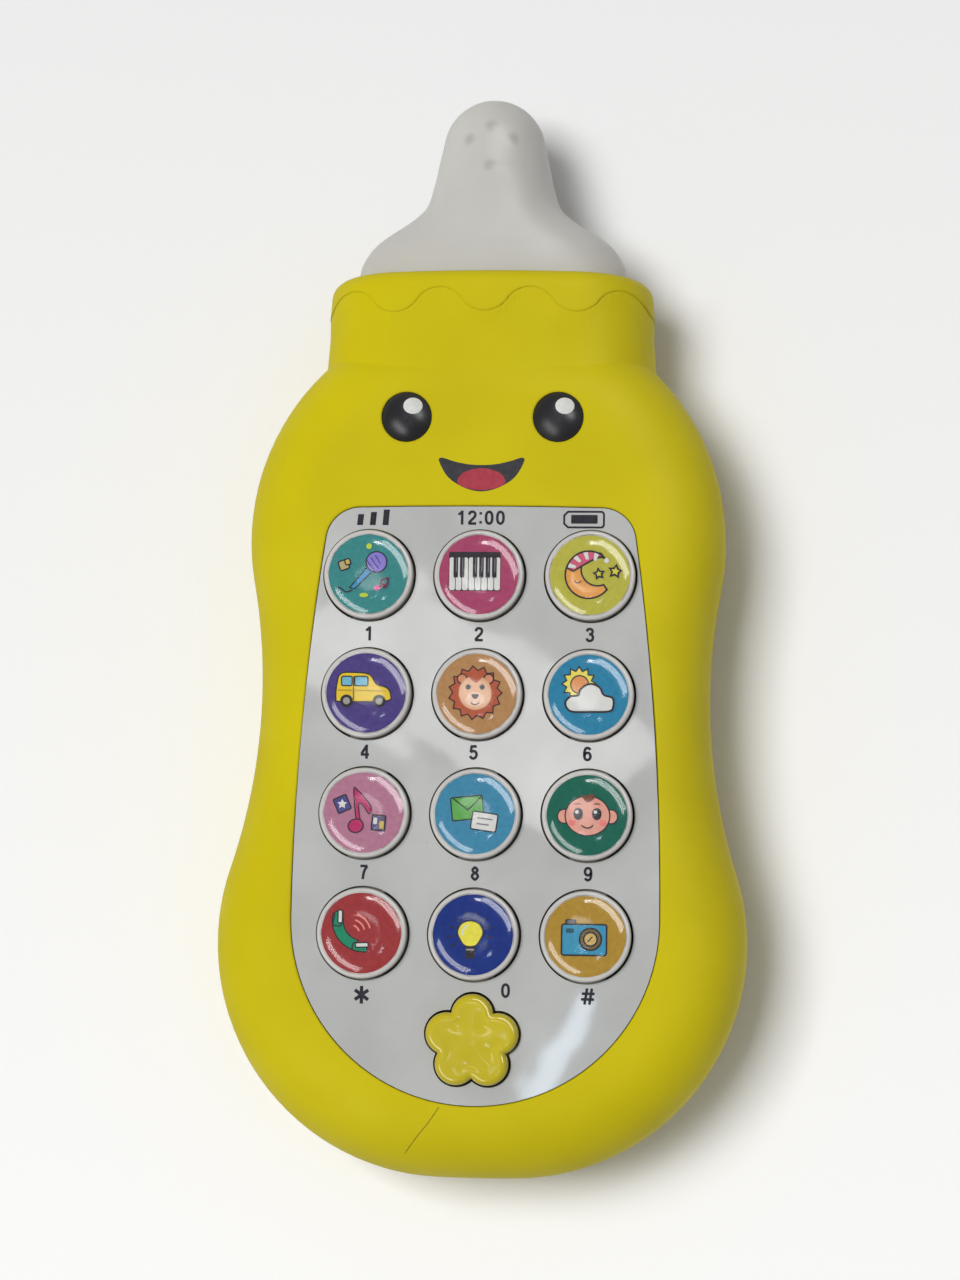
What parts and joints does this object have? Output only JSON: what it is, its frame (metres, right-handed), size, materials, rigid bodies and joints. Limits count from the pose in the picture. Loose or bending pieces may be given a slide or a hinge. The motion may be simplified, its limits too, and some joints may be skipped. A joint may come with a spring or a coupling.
{
  "type": "toy phone",
  "caption": "Toy phone in the shape of a feeding bottle: waisted two-part casing, soft teat, face panel with round picture keys and a flower button, speaker and battery bay behind.",
  "frame": {"origin": "under the middle of the length and width, on the surface the back rests on", "axes": "+Y from the round bottom edge to the tip of the teat, +Z out of the face with the keys, +X to the right of someone looking at the keys"},
  "size_m": [0.0852, 0.176, 0.0328],
  "materials": {
    "casing": "glossy moulded plastic",
    "panel": "high gloss",
    "key_cap": "satin gloss",
    "lens": "clear, high gloss",
    "flower": "glossy",
    "eye": "high gloss",
    "teat": "translucent, satin",
    "lamp": "clear",
    "mat": "matte",
    "board": "solder resist",
    "chip": "epoxy",
    "screw": "plated steel",
    "speaker_metal": "zinc plated",
    "speaker_paper": "pressed paper",
    "cell": "printed wrap",
    "contact": "nickel plated"
  },
  "bodies": {
    "casing": {"rear_casing": "casing", "front_casing": "casing", "face_panel": "panel", "eye_left": "eye", "eye_right": "eye", "teat": "teat", "lamp": "lamp", "keypad_mat": "mat", "main_board": "board", "sound_chip": "chip", "case_screws": "screw", "board_screws": "screw", "speaker_frame": "speaker_metal", "speaker_cone": "speaker_paper", "battery_cells": "cell", "contact_bridge": "contact", "contact_negative": "contact", "contact_positive": "contact"},
    "button_1": {"key_1": "key_cap", "lens_1": "lens"},
    "button_2": {"key_2": "key_cap", "lens_2": "lens"},
    "button_3": {"key_3": "key_cap", "lens_3": "lens"},
    "button_4": {"key_4": "key_cap", "lens_4": "lens"},
    "button_5": {"key_5": "key_cap", "lens_5": "lens"},
    "button_6": {"key_6": "key_cap", "lens_6": "lens"},
    "button_7": {"key_7": "key_cap", "lens_7": "lens"},
    "button_8": {"key_8": "key_cap", "lens_8": "lens"},
    "button_9": {"key_9": "key_cap", "lens_9": "lens"},
    "button_star": {"key_star": "key_cap", "lens_star": "lens"},
    "button_0": {"key_0": "key_cap", "lens_0": "lens"},
    "button_hash": {"key_hash": "key_cap", "lens_hash": "lens"},
    "button_flower": {"flower_button": "flower"},
    "door": {"battery_door": "casing", "door_screw": "screw"}
  },
  "joints": [
    {"name": "press_1", "type": "slide", "parent": "casing", "child": "button_1", "axis": [0, 0, -1], "range_m": [0, 0.001], "stiffness_N_per_m": 300, "springref_m": -0.0005, "deforming": ["keypad_mat"]},
    {"name": "press_2", "type": "slide", "parent": "casing", "child": "button_2", "axis": [0, 0, -1], "range_m": [0, 0.001], "stiffness_N_per_m": 300, "springref_m": -0.0005, "deforming": ["keypad_mat"]},
    {"name": "press_3", "type": "slide", "parent": "casing", "child": "button_3", "axis": [0, 0, -1], "range_m": [0, 0.001], "stiffness_N_per_m": 300, "springref_m": -0.0005, "deforming": ["keypad_mat"]},
    {"name": "press_4", "type": "slide", "parent": "casing", "child": "button_4", "axis": [0, 0, -1], "range_m": [0, 0.001], "stiffness_N_per_m": 300, "springref_m": -0.0005, "deforming": ["keypad_mat"]},
    {"name": "press_5", "type": "slide", "parent": "casing", "child": "button_5", "axis": [0, 0, -1], "range_m": [0, 0.001], "stiffness_N_per_m": 300, "springref_m": -0.0005, "deforming": ["keypad_mat"]},
    {"name": "press_6", "type": "slide", "parent": "casing", "child": "button_6", "axis": [0, 0, -1], "range_m": [0, 0.001], "stiffness_N_per_m": 300, "springref_m": -0.0005, "deforming": ["keypad_mat"]},
    {"name": "press_7", "type": "slide", "parent": "casing", "child": "button_7", "axis": [0, 0, -1], "range_m": [0, 0.001], "stiffness_N_per_m": 300, "springref_m": -0.0005, "deforming": ["keypad_mat"]},
    {"name": "press_8", "type": "slide", "parent": "casing", "child": "button_8", "axis": [0, 0, -1], "range_m": [0, 0.001], "stiffness_N_per_m": 300, "springref_m": -0.0005, "deforming": ["keypad_mat"]},
    {"name": "press_9", "type": "slide", "parent": "casing", "child": "button_9", "axis": [0, 0, -1], "range_m": [0, 0.001], "stiffness_N_per_m": 300, "springref_m": -0.0005, "deforming": ["keypad_mat"]},
    {"name": "press_star", "type": "slide", "parent": "casing", "child": "button_star", "axis": [0, 0, -1], "range_m": [0, 0.001], "stiffness_N_per_m": 300, "springref_m": -0.0005, "deforming": ["keypad_mat"]},
    {"name": "press_0", "type": "slide", "parent": "casing", "child": "button_0", "axis": [0, 0, -1], "range_m": [0, 0.001], "stiffness_N_per_m": 300, "springref_m": -0.0005, "deforming": ["keypad_mat"]},
    {"name": "press_hash", "type": "slide", "parent": "casing", "child": "button_hash", "axis": [0, 0, -1], "range_m": [0, 0.001], "stiffness_N_per_m": 300, "springref_m": -0.0005, "deforming": ["keypad_mat"]},
    {"name": "press_flower", "type": "slide", "parent": "casing", "child": "button_flower", "axis": [0, 0, -1], "range_m": [0, 0.001], "stiffness_N_per_m": 300, "springref_m": -0.0005, "deforming": ["keypad_mat"]},
    {"name": "door_hinge", "type": "hinge", "parent": "casing", "child": "door", "pos_m": [0, -0.0135, 0.0003], "axis": [1, 0, 0], "range_deg": [0, 60]}
  ]
}
